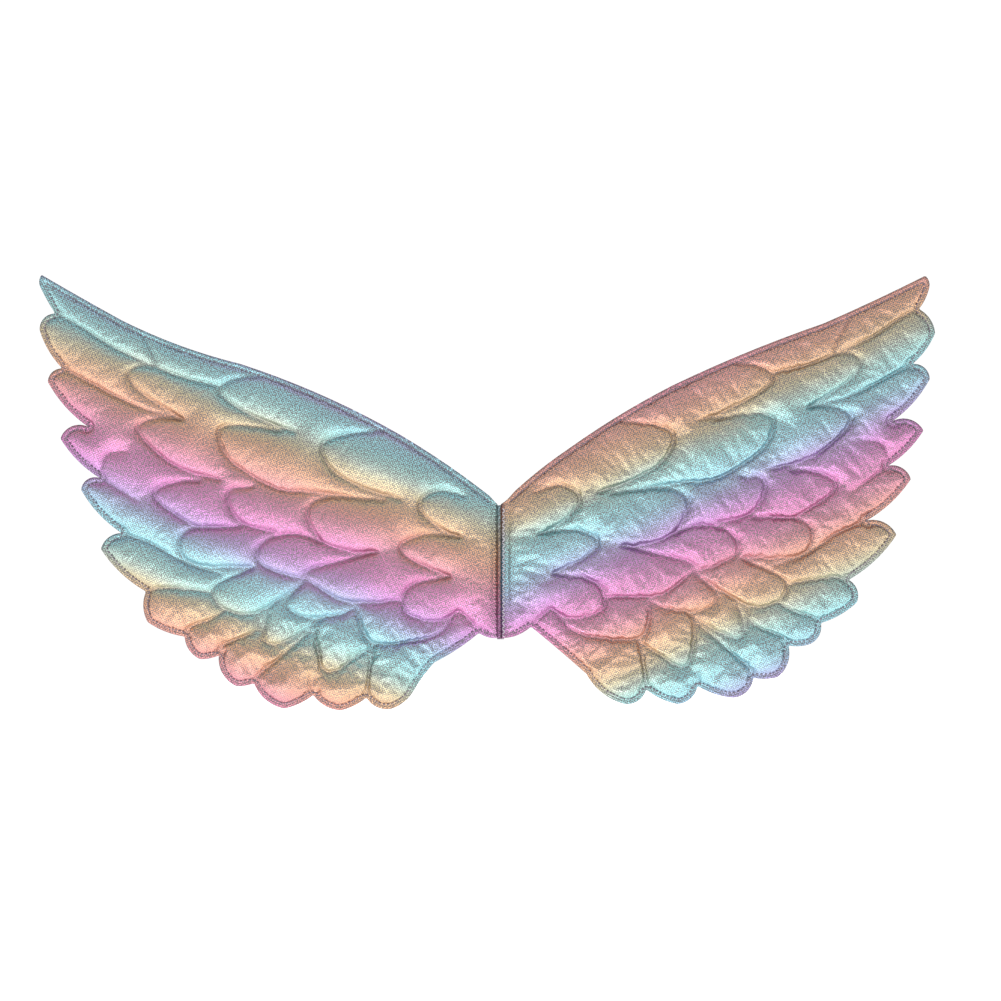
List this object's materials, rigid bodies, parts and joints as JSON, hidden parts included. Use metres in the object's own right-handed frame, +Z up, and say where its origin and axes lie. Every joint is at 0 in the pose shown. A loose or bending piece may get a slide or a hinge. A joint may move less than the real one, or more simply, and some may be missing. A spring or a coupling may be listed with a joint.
{
  "type": "costume wings",
  "caption": "Pair of soft quilted costume wings with embossed feathers, joined at a stitched centre seam, with two elastic shoulder loops behind.",
  "frame": {"origin": "middle of the centre seam, on the outer back face of the seam tape", "axes": "+X across the wings to the wing on the right seen from the front, +Y from the decorated face towards the wearer's back, +Z up along the seam"},
  "size_m": [0.4978, 0.0696, 0.242],
  "materials": {
    "face_fabric": "woven cloth with an iridescent foil coating",
    "foam": "soft white sponge",
    "lining": "plain matt lining cloth",
    "thread": "spun polyester thread",
    "elastic": "ribbed woven elastic",
    "tape": "grosgrain ribbon"
  },
  "bodies": {
    "spine": {"centre_stitch": "thread", "centre_welt": "face_fabric", "seam_allowance": "lining", "seam_filler": "lining", "seam_tape": "tape", "tape_stitch": "thread", "strap_ends": "elastic"},
    "wing_left": {"face_fabric_left": "face_fabric", "foam_left": "foam", "backing_left": "lining", "edge_stitch_left": "thread"},
    "wing_right": {"face_fabric_right": "face_fabric", "foam_right": "foam", "backing_right": "lining", "edge_stitch_right": "thread"},
    "strap_left": {"strap_left": "elastic"},
    "strap_right": {"strap_right": "elastic"}
  },
  "joints": [
    {"name": "wing_fold_left", "type": "hinge", "parent": "spine", "child": "wing_left", "pos_m": [-0.0033, -0.0036, 0], "axis": [0, 0, 1], "range_deg": [-12, 65]},
    {"name": "wing_fold_right", "type": "hinge", "parent": "spine", "child": "wing_right", "pos_m": [0.0033, -0.0036, 0], "axis": [0, 0, -1], "range_deg": [-12, 65]},
    {"name": "strap_swing_left", "type": "hinge", "parent": "spine", "child": "strap_left", "pos_m": [-0.004, -0.0013, 0], "axis": [0, 0, -1], "range_deg": [-5, 50]},
    {"name": "strap_swing_right", "type": "hinge", "parent": "spine", "child": "strap_right", "pos_m": [0.004, -0.0013, 0], "axis": [0, 0, 1], "range_deg": [-5, 50]}
  ]
}
